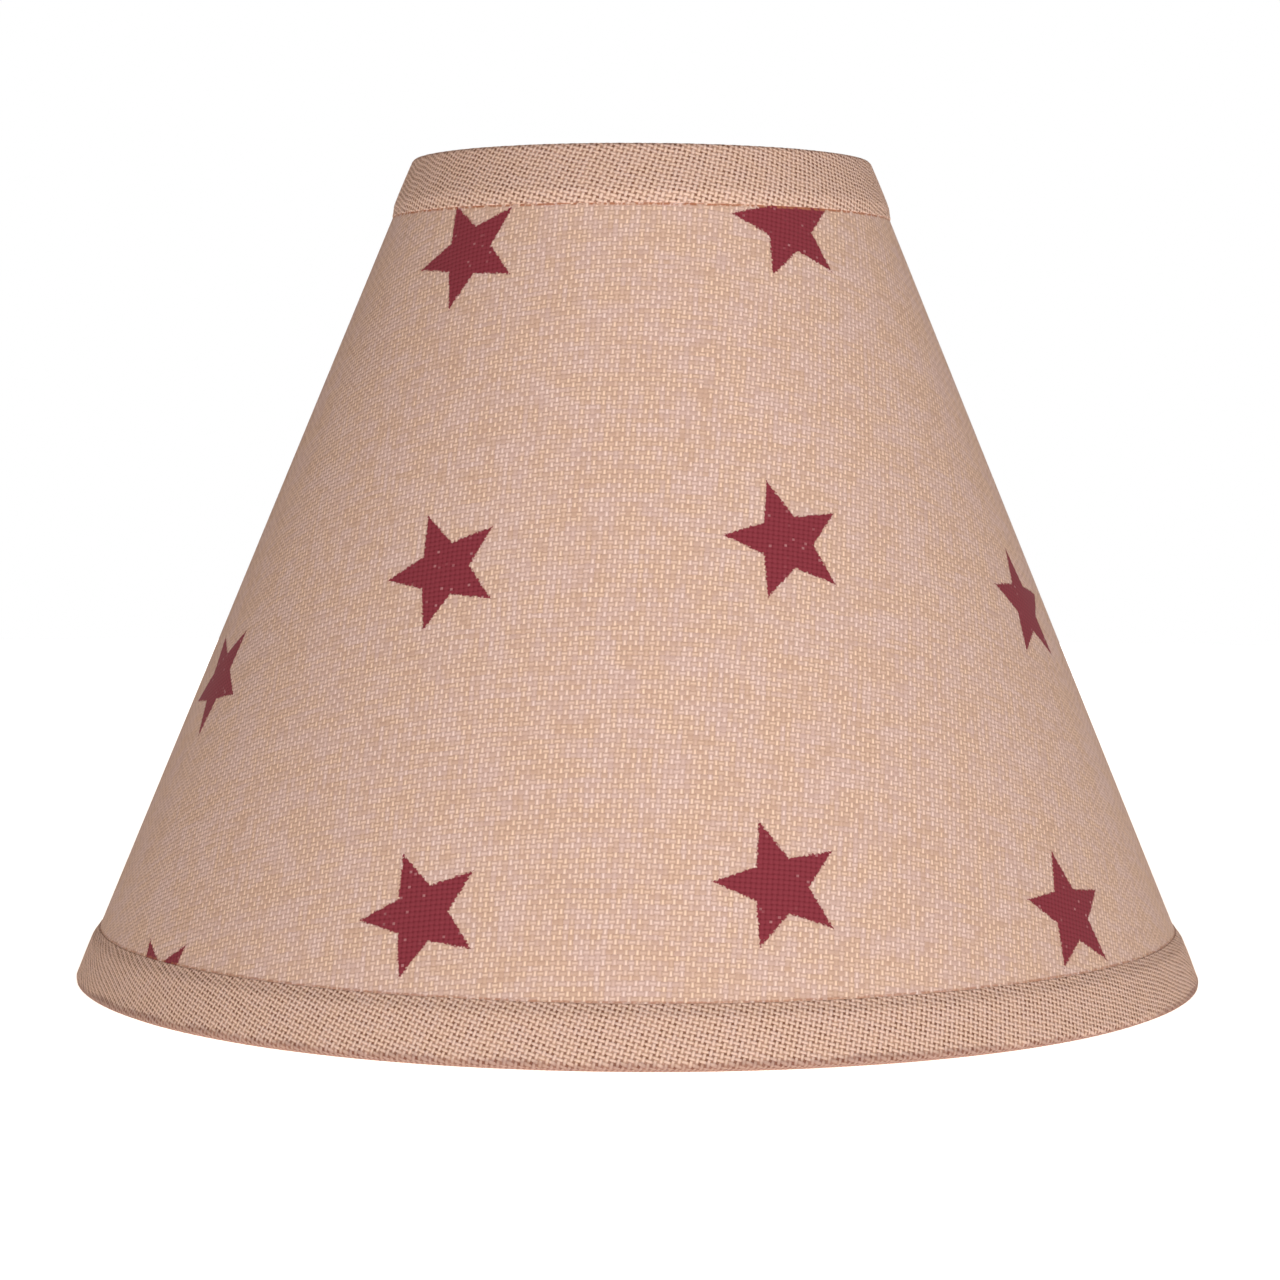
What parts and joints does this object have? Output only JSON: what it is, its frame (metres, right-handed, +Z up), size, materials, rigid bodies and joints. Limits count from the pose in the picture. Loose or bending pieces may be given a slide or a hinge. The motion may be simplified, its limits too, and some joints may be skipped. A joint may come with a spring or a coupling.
{
  "type": "lamp shade",
  "caption": "Empire lamp shade of printed cotton on a stiff conical liner, with wire rims in cloth hems and a tilting spring clip that grips the bulb.",
  "frame": {"origin": "centre of the circle that the lower rim stands on", "axes": "+Z up along the cone's axis, -Y to the front, the lap at +Y, the clip's rivet along X"},
  "size_m": [0.254, 0.2553, 0.1855],
  "materials": {
    "liner_sheet": "white satin styrene sheet",
    "printed_cotton": "tan plain weave, laminated, printed with barn-red five-point stars",
    "seam_adhesive": "translucent double-sided tape",
    "plain_cotton": "tan open plain weave, unlaminated",
    "ring_wire": "zinc-plated round wire",
    "arm_wire": "zinc-plated round wire, flattened at the eye",
    "rivet_steel": "zinc-plated, domed heads",
    "washer_brass": "plain brass",
    "saddle_steel": "stamped, zinc-plated",
    "spring_wire": "bright nickel-plated spring wire"
  },
  "bodies": {
    "shade": {"hardback_liner": "liner_sheet", "face_fabric": "printed_cotton", "seam_tape": "seam_adhesive", "top_hem": "plain_cotton", "bottom_hem": "plain_cotton", "top_ring": "ring_wire", "bottom_ring": "ring_wire", "spider_arm_left": "arm_wire", "spider_arm_right": "arm_wire", "pivot_rivet": "rivet_steel", "friction_washer_left": "washer_brass", "friction_washer_right": "washer_brass"},
    "clip_frame": {"clip_saddle": "saddle_steel"},
    "front_grip": {"clip_loop_front": "spring_wire"},
    "back_grip": {"clip_loop_back": "spring_wire"}
  },
  "joints": [
    {"name": "clip_tilt", "type": "hinge", "parent": "shade", "child": "clip_frame", "pos_m": [0, 0, 0.172], "axis": [1, 0, 0], "range_deg": [-30, 30]},
    {"name": "front_grip_open", "type": "hinge", "parent": "clip_frame", "child": "front_grip", "pos_m": [0, 0, 0.172], "axis": [-1, 0, 0], "range_deg": [0, 14], "stiffness_Nm_per_rad": 0.8},
    {"name": "back_grip_open", "type": "hinge", "parent": "clip_frame", "child": "back_grip", "pos_m": [0, 0, 0.172], "axis": [1, 0, 0], "range_deg": [0, 14], "stiffness_Nm_per_rad": 0.8}
  ]
}
